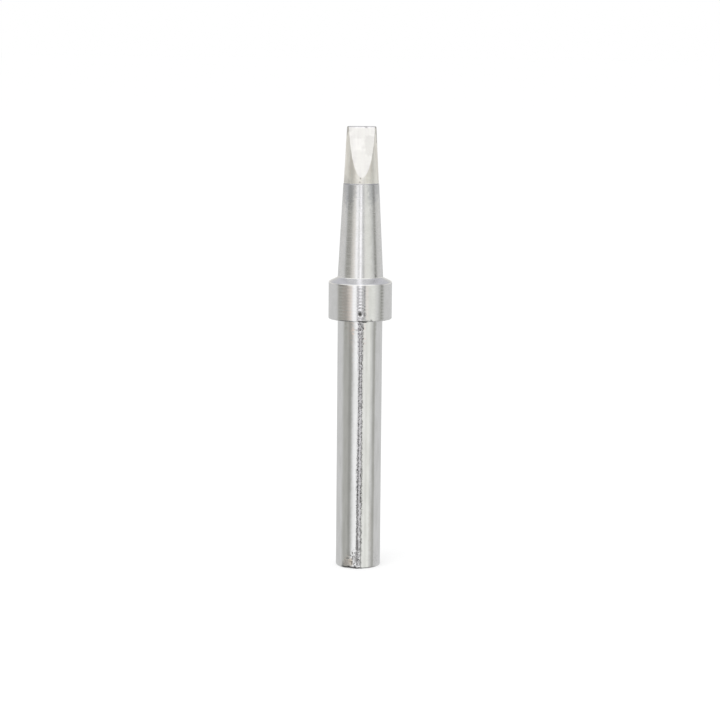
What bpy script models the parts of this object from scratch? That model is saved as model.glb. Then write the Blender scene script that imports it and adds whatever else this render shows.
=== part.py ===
"""Soldering iron tip, turned from one copper bar: long shank, locating collar, cone and chisel end.

The tip stands on its flat rear face. The origin is the centre of that face, +Z runs along the axis
towards the working end, and the two flats of the chisel face -Y and +Y. Units are metres.
"""

import math

import bmesh
import bpy
from mathutils import Matrix, Vector

MM = 0.001

# Shank, which slides into the heater up to the collar
SHANK_DIAMETER = 4.76 * MM
SHANK_LENGTH = 26.80 * MM
SHANK_EDGE_BREAK = 0.14 * MM

# Collar, which the barrel nut presses on
COLLAR_DIAMETER = 6.74 * MM
COLLAR_LENGTH = 3.96 * MM
COLLAR_CHAMFER_HEIGHT = 0.45 * MM
COLLAR_SHOULDER_RADIUS = 0.22 * MM
COLLAR_EDGE_BREAK = 0.10 * MM
TOOL_NOSE_RADIUS = 0.08 * MM

# Cone, plated as far as the tinned end
CONE_LENGTH = 15.91 * MM
CONE_BASE_DIAMETER = 4.83 * MM
CONE_END_DIAMETER = 3.16 * MM
CONE_ROOT_RADIUS = 0.18 * MM

# Chisel, two flats that close in from the cone to the edge
FLAT_LENGTH = 5.30 * MM
CHISEL_THICKNESS = 1.35 * MM
CHISEL_EDGE_RADIUS = 0.15 * MM
END_EDGE_RADIUS = 0.12 * MM

# Tinning, which reaches past the flats, and the plating's step where it begins
TINNED_MARGIN = 0.70 * MM
PLATING_STEP = 0.04 * MM

# Wear marks: each one's width round the tip, its height along it and its depth
NICK_SIZE = (1.10 * MM, 0.36 * MM, 0.20 * MM)
NICK_ANGLE = math.radians(9)
PIT_SIZE = (0.30 * MM, 0.46 * MM, 0.10 * MM)
PIT_ANGLE = math.radians(-1)
PIT_ABOVE_SEAT = 0.72 * MM
CHIP_SIZE = (1.20 * MM, 0.32 * MM, 0.12 * MM)
CHIP_ANGLE = math.radians(-25)

# Fineness of the facets
TURNED_STEPS = 72
ARC_STEPS = 3
FLAT_STEPS = 6
FILLET_STEPS = 4
SIDE_STEPS = 10
CHISEL_RINGS = 14
FIRST_FLAT_DEPTH = 0.008 * MM
SPIGOT_LENGTH = 0.60 * MM
MERGE_DISTANCE = 1e-7
SHARP_ANGLE = math.radians(24)

SHANK_RADIUS = SHANK_DIAMETER / 2
COLLAR_RADIUS = COLLAR_DIAMETER / 2
CONE_BASE_RADIUS = CONE_BASE_DIAMETER / 2
CONE_END_RADIUS = CONE_END_DIAMETER / 2
COLLAR_TOP = SHANK_LENGTH + COLLAR_LENGTH
CONE_BASE = COLLAR_TOP + COLLAR_CHAMFER_HEIGHT
TIP_END = CONE_BASE + CONE_LENGTH
FLAT_START = TIP_END - FLAT_LENGTH
PLATING_END = FLAT_START - TINNED_MARGIN


def cone_radius(height):
    """Radius of the plated cone's line at a height above the rear face."""
    along = (height - CONE_BASE) / CONE_LENGTH
    return CONE_BASE_RADIUS + (CONE_END_RADIUS - CONE_BASE_RADIUS) * along


def tinned_radius(height):
    """Radius of the tinned end at a height, where it is round."""
    return cone_radius(height) - PLATING_STEP


def flat_distance(height):
    """Distance of each flat's plane from the axis at a height."""
    start = tinned_radius(FLAT_START)
    along = (height - FLAT_START) / FLAT_LENGTH
    return start + (CHISEL_THICKNESS / 2 - start) * along


def rounded(before, corner, after, radius):
    """Points of the arc that rounds one corner of a profile, from the first side to the second."""
    if radius <= 0:
        return [corner]
    to_before = (before - corner).normalized()
    to_after = (after - corner).normalized()
    half_angle = to_before.angle(to_after) / 2
    reach = radius / math.tan(half_angle)
    middle = (to_before + to_after).normalized()
    centre = corner + middle * (radius / math.sin(half_angle))
    start = corner + to_before * reach - centre
    finish = corner + to_after * reach - centre
    turn = start.angle_signed(finish)
    points = []
    for step in range(ARC_STEPS + 1):
        angle = -turn * step / ARC_STEPS
        points.append(centre + Matrix.Rotation(angle, 2) @ start)
    return points


def turned_profile():
    """The shank, collar and cone as a half outline, from the top of the axis down to its foot."""
    corners = [
        (0, PLATING_END, 0),
        (cone_radius(PLATING_END), PLATING_END, 0),
        (CONE_BASE_RADIUS, CONE_BASE, CONE_ROOT_RADIUS),
        (COLLAR_RADIUS, COLLAR_TOP, COLLAR_SHOULDER_RADIUS),
        (COLLAR_RADIUS, SHANK_LENGTH, COLLAR_EDGE_BREAK),
        (SHANK_RADIUS, SHANK_LENGTH, TOOL_NOSE_RADIUS),
        (SHANK_RADIUS, 0, SHANK_EDGE_BREAK),
        (0, 0, 0),
    ]
    places = [Vector((radius, height)) for radius, height, _ in corners]
    points = [places[0]]
    for index in range(1, len(corners) - 1):
        radius = corners[index][2]
        points += rounded(places[index - 1], places[index], places[index + 1], radius)
    return points + [places[-1]]


def mesh_object(name, mesh, collection):
    """A new object that holds a mesh, linked to a collection."""
    made = bpy.data.objects.new(name, mesh)
    collection.objects.link(made)
    return made


def turned_body(collection):
    """Shank, collar and plated cone, turned round the axis from their half outline."""
    points = turned_profile()
    mesh = bpy.data.meshes.new("turned_outline")
    sides = [(index, index + 1) for index in range(len(points) - 1)]
    mesh.from_pydata([(point.x, 0, point.y) for point in points], sides, [])
    body = mesh_object("soldering_tip", mesh, collection)
    turn = body.modifiers.new("turn", "SCREW")
    turn.axis = "Z"
    turn.steps = TURNED_STEPS
    turn.render_steps = TURNED_STEPS
    turn.use_merge_vertices = True
    turn.merge_threshold = MERGE_DISTANCE
    return body


def chisel_quarter(radius, distance):
    """One quarter of the chisel's section, from the middle of a flat to the middle of a side.

    The flat lies at +Y and the side at +X. The fillet between them touches both.
    """
    fillet = CHISEL_EDGE_RADIUS
    centre_y = distance - fillet
    centre_x = math.sqrt((radius - fillet) ** 2 - centre_y**2)
    lean = math.atan2(centre_x, centre_y)
    points = []
    for step in range(FLAT_STEPS):
        points.append((centre_x * step / FLAT_STEPS, distance))
    for step in range(FILLET_STEPS):
        angle = lean * step / FILLET_STEPS
        points.append((centre_x + fillet * math.sin(angle), centre_y + fillet * math.cos(angle)))
    for step in range(SIDE_STEPS + 1):
        angle = lean + (math.pi / 2 - lean) * step / SIDE_STEPS
        points.append((radius * math.sin(angle), radius * math.cos(angle)))
    return points


def full_ring(quarter, height):
    """The whole section at a height, counter-clockwise from the -Y flat, seen from above."""
    right = [Vector((x, -y, height)) for x, y in quarter]
    back = [Vector((x, y, height)) for x, y in reversed(quarter)]
    rear = [Vector((-x, y, height)) for x, y in quarter]
    left = [Vector((-x, -y, height)) for x, y in reversed(quarter)]
    return right[:-1] + back[:-1] + rear[:-1] + left[:-1]


def chisel_rings():
    """Rings of the tinned end, from the spigot inside the cone up to the chisel's rounded edge."""
    rings = []
    first_share = FIRST_FLAT_DEPTH / (tinned_radius(FLAT_START) - CHISEL_THICKNESS / 2)
    first = FLAT_START + FLAT_LENGTH * first_share
    straight_end = TIP_END - END_EDGE_RADIUS
    start = full_ring(chisel_quarter(tinned_radius(first), flat_distance(first)), 0)
    directions = [Vector((point.x, point.y, 0)).normalized() for point in start]
    for height in (PLATING_END - SPIGOT_LENGTH, FLAT_START):
        radius = tinned_radius(height)
        rings.append([d * radius + Vector((0, 0, height)) for d in directions])
    for step in range(CHISEL_RINGS + 1):
        height = first + (straight_end - first) * (step / CHISEL_RINGS) ** 1.5
        rings.append(full_ring(chisel_quarter(tinned_radius(height), flat_distance(height)), height))
    for step in range(1, ARC_STEPS + 1):
        angle = math.pi / 2 * step / ARC_STEPS
        height = straight_end + END_EDGE_RADIUS * math.sin(angle)
        inset = END_EDGE_RADIUS * (1 - math.cos(angle))
        radius = tinned_radius(height) - inset
        distance = flat_distance(height) - inset
        rings.append(full_ring(chisel_quarter(radius, distance), height))
    return rings


def chisel_end(collection):
    """The tinned end, lofted from the round cone to the flat edge of the chisel."""
    shape = bmesh.new()
    rings = [[shape.verts.new(point) for point in ring] for ring in chisel_rings()]
    count = len(rings[0])
    for lower, upper in zip(rings, rings[1:]):
        for here in range(count):
            after = (here + 1) % count
            shape.faces.new((lower[here], lower[after], upper[after], upper[here]))
    shape.faces.new(list(reversed(rings[0])))
    shape.faces.new(rings[-1])
    mesh = bpy.data.meshes.new("chisel_end")
    shape.to_mesh(mesh)
    shape.free()
    return mesh_object("chisel_end", mesh, collection)


def wear_mark(name, size, angle, radius, height, collection):
    """A flattened ball, sunk into the turned surface by the mark's depth, for one wear mark.

    The angle is counted round the axis from the side that faces -Y, towards +X.
    """
    width, tall, depth = size
    shape = bmesh.new()
    bmesh.ops.create_icosphere(shape, subdivisions=2, radius=1)
    bmesh.ops.scale(shape, vec=(width / 2, depth, tall / 2), verts=shape.verts)
    mesh = bpy.data.meshes.new(name)
    shape.to_mesh(mesh)
    shape.free()
    mark = mesh_object(name, mesh, collection)
    mark.location = (radius * math.sin(angle), -radius * math.cos(angle), height)
    mark.rotation_euler.z = angle
    return mark


def combine(body, tool, operation):
    """Adds a Boolean modifier to the body and hides the tool that it uses."""
    modifier = body.modifiers.new(tool.name, "BOOLEAN")
    modifier.operation = operation
    modifier.solver = "EXACT"
    modifier.material_mode = "TRANSFER"
    modifier.object = tool
    tool.hide_render = True
    tool.display_type = "WIRE"


def metal(name, colour, roughness):
    """A plain metal of one colour and roughness."""
    material = bpy.data.materials.new(name)
    material.use_nodes = True
    shader = material.node_tree.nodes["Principled BSDF"]
    shader.inputs["Base Color"].default_value = (*colour, 1)
    shader.inputs["Roughness"].default_value = roughness
    shader.inputs["Metallic"].default_value = 1
    return material


def new_collection(name):
    """A new collection under the scene's own."""
    made = bpy.data.collections.new(name)
    bpy.context.scene.collection.children.link(made)
    return made


def main():
    """Clears the scene and builds the tip."""
    for existing in list(bpy.data.objects):
        bpy.data.objects.remove(existing, do_unlink=True)
    parts = new_collection("soldering_iron_tip")
    tools = new_collection("cutters")

    body = turned_body(parts)
    body.data.materials.append(metal("bright_plating", (0.78, 0.78, 0.76), 0.24))
    tinned = chisel_end(tools)
    tinned.data.materials.append(metal("solder_tinning", (0.90, 0.89, 0.86), 0.38))
    combine(body, tinned, "UNION")

    nick = wear_mark("collar_nick", NICK_SIZE, NICK_ANGLE, COLLAR_RADIUS, SHANK_LENGTH, tools)
    pit_height = SHANK_LENGTH + PIT_ABOVE_SEAT
    pit = wear_mark("collar_pit", PIT_SIZE, PIT_ANGLE, COLLAR_RADIUS, pit_height, tools)
    chip = wear_mark("rear_chip", CHIP_SIZE, CHIP_ANGLE, SHANK_RADIUS, 0, tools)
    for mark in (nick, pit, chip):
        combine(body, mark, "DIFFERENCE")

    bpy.context.view_layer.update()
    evaluated = body.evaluated_get(bpy.context.evaluated_depsgraph_get())
    solid = bpy.data.meshes.new_from_object(evaluated)
    body.modifiers.clear()
    body.data = solid
    solid.shade_smooth()
    solid.set_sharp_from_angle(angle=SHARP_ANGLE)


main()
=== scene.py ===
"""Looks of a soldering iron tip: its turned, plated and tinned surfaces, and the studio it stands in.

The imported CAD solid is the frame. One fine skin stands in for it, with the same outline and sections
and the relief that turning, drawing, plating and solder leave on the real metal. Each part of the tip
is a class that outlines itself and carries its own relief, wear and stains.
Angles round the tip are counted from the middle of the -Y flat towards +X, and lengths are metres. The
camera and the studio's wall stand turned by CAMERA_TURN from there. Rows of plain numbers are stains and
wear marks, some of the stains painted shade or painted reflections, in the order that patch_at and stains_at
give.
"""

from __future__ import annotations

import logging
import math
from abc import ABC, abstractmethod
from dataclasses import dataclass, field
from enum import Enum

import bmesh
import bpy
import numpy as np
from mathutils import Matrix, Vector


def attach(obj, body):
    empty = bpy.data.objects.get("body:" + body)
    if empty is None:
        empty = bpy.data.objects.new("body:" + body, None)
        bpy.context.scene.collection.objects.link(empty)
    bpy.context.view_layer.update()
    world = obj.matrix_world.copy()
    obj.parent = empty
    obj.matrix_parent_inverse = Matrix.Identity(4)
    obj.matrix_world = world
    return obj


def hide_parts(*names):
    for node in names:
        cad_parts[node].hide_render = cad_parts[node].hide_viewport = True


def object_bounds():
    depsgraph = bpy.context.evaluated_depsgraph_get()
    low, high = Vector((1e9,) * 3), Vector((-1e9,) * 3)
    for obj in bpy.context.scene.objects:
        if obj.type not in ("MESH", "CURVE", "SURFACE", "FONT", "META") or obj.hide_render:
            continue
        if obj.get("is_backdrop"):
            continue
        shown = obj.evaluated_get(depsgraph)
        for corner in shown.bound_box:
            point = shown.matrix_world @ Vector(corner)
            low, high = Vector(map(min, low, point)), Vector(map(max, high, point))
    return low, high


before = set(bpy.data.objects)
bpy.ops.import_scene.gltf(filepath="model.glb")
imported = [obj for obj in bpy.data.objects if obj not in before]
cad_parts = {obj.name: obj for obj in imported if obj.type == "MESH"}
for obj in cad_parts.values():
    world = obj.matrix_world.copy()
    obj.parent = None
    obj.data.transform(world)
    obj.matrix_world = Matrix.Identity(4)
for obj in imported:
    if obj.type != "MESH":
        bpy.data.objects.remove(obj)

MM = 0.001
MICRON = 1e-6
TINY = 1e-12
NODE = "soldering_tip"
CAMERA_TURN = math.radians(-2.2)
QUARTER_TURN = 0.25
STRAIGHT_UP = 90.0

Colour = tuple[float, float, float]
Socket = bpy.types.NodeSocket

log = logging.getLogger("soldering_tip")


def smooth(share: np.ndarray | float) -> np.ndarray | float:
    """A share from 0 to 1, eased at both ends."""
    return share * share * (3 - 2 * share)


def placed(name: str, data: bpy.types.ID) -> bpy.types.Object:
    """Makes an object and puts it in the scene.

    Args:
        name: The object's name.
        data: The mesh, lamp or camera that it holds.

    Returns:
        The object.
    """
    made = bpy.data.objects.new(name, data)
    bpy.context.scene.collection.objects.link(made)
    return made


def mesh_of(name: str, shape: bmesh.types.BMesh, paint: bpy.types.Material) -> bpy.types.Mesh:
    """Turns a shape into a painted mesh.

    Args:
        name: The mesh's name.
        shape: The shape, which is freed.
        paint: The material that it wears.

    Returns:
        The mesh.
    """
    mesh = bpy.data.meshes.new(name)
    shape.to_mesh(mesh)
    shape.free()
    mesh.materials.append(paint)
    return mesh


class Metal(Enum):
    """Metals that the faces of the skin wear, in the order of its material slots."""

    SOLDER_FACE = 0
    SOLDER_SIDE = 1
    PLATING = 2
    COLLAR = 3
    SHANK = 4


class StainKind(Enum):
    """Kinds of stain, each kept on the skin as an attribute of this name. The first kind also carries
    painted shade and painted reflections.
    """

    SOOT_AND_SHADE = "soot"
    COPPER = "bare_copper"
    HEAT = "heat_bloom"
    PITS = "pitted"


@dataclass(frozen=True)
class TipSizes:
    """Sizes of the tip, which are those of the CAD solid."""

    length: float
    collar_radius: float
    shank_radius: float = 2.38 * MM
    shank_length: float = 26.80 * MM
    shank_edge_break: float = 0.14 * MM
    collar_length: float = 3.96 * MM
    chamfer_height: float = 0.45 * MM
    shoulder_radius: float = 0.22 * MM
    collar_edge_break: float = 0.10 * MM
    tool_nose_radius: float = 0.08 * MM
    cone_root_radius: float = 0.18 * MM
    cone_base_radius: float = 2.415 * MM
    cone_end_radius: float = 1.58 * MM
    flat_length: float = 5.30 * MM
    chisel_thickness: float = 1.35 * MM
    chisel_edge_radius: float = 0.15 * MM
    end_edge_radius: float = 0.12 * MM
    tinned_margin: float = 0.70 * MM
    plating_step: float = 0.04 * MM

    @property
    def collar_top(self) -> float:
        """Height where the collar's chamfer starts."""
        return self.shank_length + self.collar_length

    @property
    def cone_base(self) -> float:
        """Height where the cone starts."""
        return self.collar_top + self.chamfer_height

    @property
    def flat_start(self) -> float:
        """Height of the flats' foot."""
        return self.length - self.flat_length

    @property
    def plating_end(self) -> float:
        """Height where the plating stops and the tinning starts."""
        return self.flat_start - self.tinned_margin

    def cone_radius(self, height: float) -> float:
        """Radius of the plated cone's line at a height."""
        along = (height - self.cone_base) / (self.length - self.cone_base)
        return self.cone_base_radius + (self.cone_end_radius - self.cone_base_radius) * along

    def tinned_radius(self, height: float) -> float:
        """Radius of the tinned end at a height, where it is round."""
        return self.cone_radius(height) - self.plating_step

    def flat_distance(self, height: float) -> float:
        """Finds how far the flats' planes lie from the axis.

        Args:
            height: Height above the rear face.

        Returns:
            The distance at that height.
        """
        start = self.tinned_radius(self.flat_start)
        along = (height - self.flat_start) / self.flat_length
        return start + (self.chisel_thickness / 2 - start) * along


@dataclass
class SurfaceNoise:
    """Smooth seeded noise wrapped round the tip, from -1 to 1."""

    seed: int
    across: float
    tall: float
    radius: float = 2.38 * MM
    reach: float = 48 * MM
    spare_rows: int = 3
    lattice: np.ndarray = field(init=False)

    def __post_init__(self) -> None:
        """Draws the random values at the lattice's corners."""
        around = max(4, round(2 * math.pi * self.radius / self.across))
        along = round(self.reach / self.tall) + self.spare_rows
        draw = np.random.default_rng(self.seed)
        self.lattice = draw.uniform(-1, 1, (along, around))

    def at(self, angle: np.ndarray, height: np.ndarray) -> np.ndarray:
        """The noise at places on the tip.

        Args:
            angle: Angles round the tip.
            height: Heights above the rear face.

        Returns:
            The noise there, in the same shape.
        """
        along, around = self.lattice.shape
        u = (angle / (2 * math.pi)) % 1 * around
        v = np.clip(height / self.tall, 0, along - 2 - TINY)
        i, j = np.floor(v).astype(int), np.floor(u).astype(int)
        up, right = v - i, u - j
        up, right = smooth(up), smooth(right)
        here, after = j % around, (j + 1) % around
        low = self.lattice[i, here] * (1 - right) + self.lattice[i, after] * right
        high = self.lattice[i + 1, here] * (1 - right) + self.lattice[i + 1, after] * right
        return low * (1 - up) + high * up


@dataclass(frozen=True)
class Patch:
    """A patch of the skin, round or stretched, or a whole ring where it has no width.

    Its angle is in degrees and its other sizes are metres.
    """

    angle: float
    height: float
    width: float
    tall: float

    def reach(self, angle: np.ndarray, height: np.ndarray, radius: np.ndarray) -> np.ndarray:
        """How far places lie from the patch's middle: 0 in the middle and 1 at its rim.

        Args:
            angle: Angles round the tip.
            height: Heights above the rear face.
            radius: Distances from the axis.

        Returns:
            The reach of each place, in the same shape.
        """
        along = (height - self.height) / (self.tall / 2)
        if not self.width:
            return np.abs(along)
        turn = (angle - math.radians(self.angle) + math.pi) % (2 * math.pi) - math.pi
        return np.hypot(turn * radius / (self.width / 2), along)


@dataclass(frozen=True)
class WearMark:
    """A dent in the skin, with a burr raised round its rim and dirt in its bottom."""

    patch: Patch
    depth: float
    burr: float = 0.0
    dirt: float = 0.0
    burr_reach: float = 1.12
    burr_width: float = 0.16
    dirt_reach: float = 1.35

    def relief(self, reach: np.ndarray) -> np.ndarray:
        """Shapes the dent and its burr.

        Args:
            reach: How far places lie from the mark's middle, as Patch.reach gives it.

        Returns:
            The height that the mark adds there, which is negative in the dent.
        """
        dent = -self.depth * np.clip(1 - reach**2, 0, None)
        rim = self.burr * np.exp(-(((reach - self.burr_reach) / self.burr_width) ** 2))
        return dent + rim

    def soil(self, reach: np.ndarray) -> np.ndarray:
        """How much dirt the mark holds, from 0 to 1."""
        return self.dirt * np.clip(self.dirt_reach - reach, 0, 1)


@dataclass(frozen=True)
class Stain:
    """A stain on the skin, or a patch of painted shade or painted reflection, with a ragged rim."""

    kind: StainKind
    patch: Patch
    strength: float
    ragged: float = 0.35
    soft: float = 0.45
    grain: float = 0.22 * MM
    seed: int = 71

    def cover(self, angle: np.ndarray, height: np.ndarray, radius: np.ndarray) -> np.ndarray:
        """Finds how much of the stain lies at places on the tip.

        Args:
            angle: Angles round the tip.
            height: Heights above the rear face.
            radius: Distances from the axis.

        Returns:
            The share at each place, from 0 to the stain's strength.
        """
        rim = SurfaceNoise(self.seed, self.grain, self.grain).at(angle, height) * self.ragged
        inside = 1 + self.soft / 2 - self.patch.reach(angle, height, radius) - rim
        share = np.clip(inside / self.soft, 0, 1)
        return smooth(share) * self.strength


def patch_at(base: float, angle: float, above: float, width: float, tall: float) -> Patch:
    """A patch from its angle in degrees and its height above a base, width and own height in mm."""
    return Patch(angle, base + above * MM, width * MM, tall * MM)


def stains_at(kind: StainKind, base: float, *rows: tuple[float, ...]) -> list[Stain]:
    """Makes stains of one kind from rows of numbers.

    Args:
        kind: What the stains are.
        base: Height that the rows count from.
        rows: For each stain what patch_at takes, then its strength and, where they differ from the
            usual ones, how ragged and how soft its rim is.

    Returns:
        The stains, in the same order.
    """
    return [Stain(kind, patch_at(base, *row[:4]), *row[4:]) for row in rows]


@dataclass(frozen=True)
class Corner:
    """A corner of the turned outline, with the straight side that runs on from it."""

    radius: float
    height: float
    nose: float
    rows: int
    metal: Metal
    worked: bool = True


@dataclass(frozen=True)
class Row:
    """One ring of the skin: its height, its radius and how far its flats lie from the axis."""

    height: float
    radius: float
    part: TipPart
    metal: Metal
    worked: bool = True
    flat: float | None = None
    shrink: float = 1.0


@dataclass(frozen=True)
class TipPart(ABC):
    """A part of the tip's skin, which outlines itself and knows its relief, its wear and its stains."""

    sizes: TipSizes

    @abstractmethod
    def corners(self) -> list[Corner]:
        """Corners of the part's turned outline, from the working end down."""

    @abstractmethod
    def relief(self, angle: np.ndarray, height: np.ndarray) -> np.ndarray:
        """Heights that the part's metal adds to the bare outline."""

    def marks(self) -> list[WearMark]:
        """The part's wear marks."""
        return []

    def stains(self) -> list[Stain]:
        """The part's stains."""
        return []


@dataclass(frozen=True)
class ChiselEnd(TipPart):
    """The tinned end: a flat edge, two flats that close in on it and a round margin below them."""

    end_rows: int = 6
    edge_rows: int = 5
    flat_rows: int = 82
    margin_rows: int = 11
    first_flat_depth: float = 0.008 * MM
    foot_crowding: float = 1.5
    lumps: float = 7 * MICRON
    slow_share: float = 0.65
    streaks: float = 2 * MICRON
    streak_parts: int = 6
    streak_overlap: float = 1.7
    streak_rag: float = 0.3
    streak_soft: float = 1.2

    def flats(self) -> list[Row]:
        """Lays out the edge face, its rounded rim and the two flats.

        Returns:
            The rows, down to the flats' foot.
        """
        sizes = self.sizes
        straight_end = sizes.length - sizes.end_edge_radius
        rows = []
        rim_radius = sizes.tinned_radius(sizes.length) - sizes.end_edge_radius
        rim_flat = sizes.flat_distance(sizes.length) - sizes.end_edge_radius
        for step in range(1, self.end_rows):
            share = step / self.end_rows
            rows.append(self.row(sizes.length, rim_radius, rim_flat, share))
        for step in range(self.edge_rows, 0, -1):
            angle = math.pi / 2 * step / self.edge_rows
            height = straight_end + sizes.end_edge_radius * math.sin(angle)
            inset = sizes.end_edge_radius * (1 - math.cos(angle))
            radius = sizes.tinned_radius(height) - inset
            rows.append(self.row(height, radius, sizes.flat_distance(height) - inset))
        start = sizes.tinned_radius(sizes.flat_start)
        first_share = self.first_flat_depth / (start - sizes.chisel_thickness / 2)
        first = sizes.flat_start + sizes.flat_length * first_share
        for step in range(self.flat_rows, -1, -1):
            height = first + (straight_end - first) * (step / self.flat_rows) ** self.foot_crowding
            rows.append(self.row(height, sizes.tinned_radius(height), sizes.flat_distance(height)))
        return rows

    def row(self, height: float, radius: float, flat: float, shrink: float = 1.0) -> Row:
        """One row with flats."""
        return Row(height, radius, self, Metal.SOLDER_SIDE, True, flat, shrink)

    def corners(self) -> list[Corner]:
        """Outlines the round margin between the flats' foot and the plating.

        Returns:
            The one corner that it starts from.
        """
        sizes = self.sizes
        foot = sizes.flat_start
        return [Corner(sizes.tinned_radius(foot), foot, 0, self.margin_rows, Metal.SOLDER_SIDE)]

    def relief(self, angle: np.ndarray, height: np.ndarray) -> np.ndarray:
        """Soft lumps of the solder skin, with faint streaks that run along the tip.

        Args:
            angle: Angles round the tip.
            height: Heights above the rear face.

        Returns:
            The height that the metal adds at each place.
        """
        slow = SurfaceNoise(seed=41, across=1.0 * MM, tall=1.3 * MM).at(angle, height)
        quick = SurfaceNoise(seed=42, across=0.4 * MM, tall=0.5 * MM).at(angle, height)
        streaks = SurfaceNoise(seed=43, across=0.3 * MM, tall=3.0 * MM).at(angle, height)
        lumps = self.slow_share * slow + (1 - self.slow_share) * quick
        return self.lumps * lumps + self.streaks * streaks

    def streak(self, across: float, low: float, high: float, width: float, strength: float) -> list[Stain]:
        """A faint grey streak that runs straight down a flat.

        Args:
            across: How far it lies from the flat's middle line, towards +X.
            low: Height of its foot.
            high: Height of its top.
            width: Its width.
            strength: How grey it is.

        Returns:
            The stains that make it up.
        """
        stains = []
        for step in range(self.streak_parts):
            height = low + (high - low) * (step + 0.5) / self.streak_parts
            lean = math.degrees(math.atan2(across, self.sizes.flat_distance(height)))
            tall = (high - low) / self.streak_parts * self.streak_overlap
            patch = Patch(lean, height, width, tall)
            stains.append(Stain(StainKind.SOOT_AND_SHADE, patch, strength, self.streak_rag, self.streak_soft))
        return stains

    def stains(self) -> list[Stain]:
        """Dark lines along the edges, streaks on the flat and beside it, and specks below its foot.

        Returns:
            The stains, in any order.
        """
        end, stop, foot = self.sizes.length, self.sizes.plating_end, self.sizes.flat_start
        on_flat = self.streak(0.76 * MM, foot + 2.3 * MM, end - 1.0 * MM, 0.95 * MM, 0.19)
        on_flat += self.streak(0, foot + 0.1 * MM, foot + 2.7 * MM, 2.40 * MM, 0.11)
        on_flat += self.streak(0, end - 1.2 * MM, end - 0.25 * MM, 2.50 * MM, 0.10)
        on_flat += self.streak(-1.16 * MM, foot + 2.7 * MM, end - 1.0 * MM, 0.32 * MM, 0.12)
        beside = stains_at(
            StainKind.SOOT_AND_SHADE, foot,
            (-42, 2.1, 0.24, 1.5, 0.17, 0.3, 1.0),
            (-36, 1.2, 0.36, 1.4, 0.17, 0.3, 1.0),
            (-30, 0.3, 0.60, 1.4, 0.17, 0.4, 1.0),
        )
        below = stains_at(
            StainKind.SOOT_AND_SHADE, stop,
            (-27, 0.2, 0.90, 1.0, 0.15, 0.5, 1.0),
            (12, 0.45, 1.00, 0.6, 0.11, 0.5, 1.0),
            (-66, 0.20, 1.70, 1.2, 0.21, 0.5, 1.0),
            (-10, 0.05, 1.60, 0.5, 0.12, 0.5, 1.0),
            (-5.2, 0.62, 0.16, 0.18, 0.55),
            (-7.2, 0.22, 0.14, 0.20, 0.42),
            (-43, 1.6, 0.30, 2.0, 0.10),
        )
        # darker lines along the end edge and down both sides
        darkened = stains_at(
            StainKind.SOOT_AND_SHADE, end,
            (67, -0.08, 0.20, 0.30, 0.40, 0.3),
            (30, -0.05, 0.22, 0.24, 0.40),
            (-60, -0.25, 0.5, 0.6, 0.14, 0.4, 1.0),
            (-80, -0.3, 0.75, 1.3, 0.46),
            (76, -0.6, 0.50, 2.7, 0.42),
        )
        bare = stains_at(StainKind.COPPER, stop, (-43, 1.8, 0.24, 2.4, 0.50), (32, 1.5, 0.40, 1.5, 0.25))
        return on_flat + beside + below + darkened + bare


@dataclass(frozen=True)
class Cone(TipPart):
    """The plated cone, with the step where its plating starts."""

    step_rows: int = 2
    cone_rows: int = 128
    waves: float = 0.8 * MICRON
    slow_share: float = 0.6
    bloom_height: float = 4.4 * MM
    side_share: float = 0.7

    def corners(self) -> list[Corner]:
        """The plating's step and the cone down to its rounded root.

        Returns:
            The corners, from the working end down.
        """
        sizes = self.sizes
        stop = sizes.plating_end
        return [
            Corner(sizes.tinned_radius(stop), stop, 0, self.step_rows, Metal.PLATING, False),
            Corner(sizes.cone_radius(stop), stop, 0, self.cone_rows, Metal.PLATING),
        ]

    def relief(self, angle: np.ndarray, height: np.ndarray) -> np.ndarray:
        """Slight waves of the polished metal.

        Args:
            angle: Angles round the tip.
            height: Heights above the rear face.

        Returns:
            The height that the metal adds at each place.
        """
        slow = SurfaceNoise(seed=31, across=1.1 * MM, tall=0.55 * MM).at(angle, height)
        lines = SurfaceNoise(seed=32, across=3.0 * MM, tall=0.15 * MM).at(angle, height)
        return self.waves * (self.slow_share * slow + (1 - self.slow_share) * lines)

    def stains(self) -> list[Stain]:
        """The dull bluish bloom below the tinning, a ring of painted shade on the plating's step, a dark
        foot at the right and a film on both sides.

        Returns:
            The stains, in any order.
        """
        tall = self.bloom_height / MM
        short = self.side_share * tall
        bloom = stains_at(
            StainKind.HEAT, self.sizes.plating_end,
            (0, 0, 0, tall, 0.22, 0.3, 1.0),
            (-43, 0, 1.7, tall, 0.95, 0.3, 0.9),
            (36, 0, 1.3, tall, 0.80, 0.3, 0.9),
            (62, 0, 1.0, short, 0.85, 0.3, 0.9),
            (-66, 0, 1.0, short, 0.85, 0.3, 0.9),
        )
        # painted shade: a dark ring on the plating's step that holds back the bright reflection of its ledge
        line = stains_at(StainKind.SOOT_AND_SHADE, self.sizes.plating_end, (0, 0, 0, 0.07, 0.28, 0.3))
        return bloom + line + stains_at(
            StainKind.SOOT_AND_SHADE, self.sizes.cone_base,
            (39, 0.3, 0.22, 0.5, 0.35),
            (44, 6.0, 1.3, 13.0, 0.085, 0.3, 1.2),
            (-68, 8.0, 1.0, 8.0, 0.08, 0.3, 1.2),
        )


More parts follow.
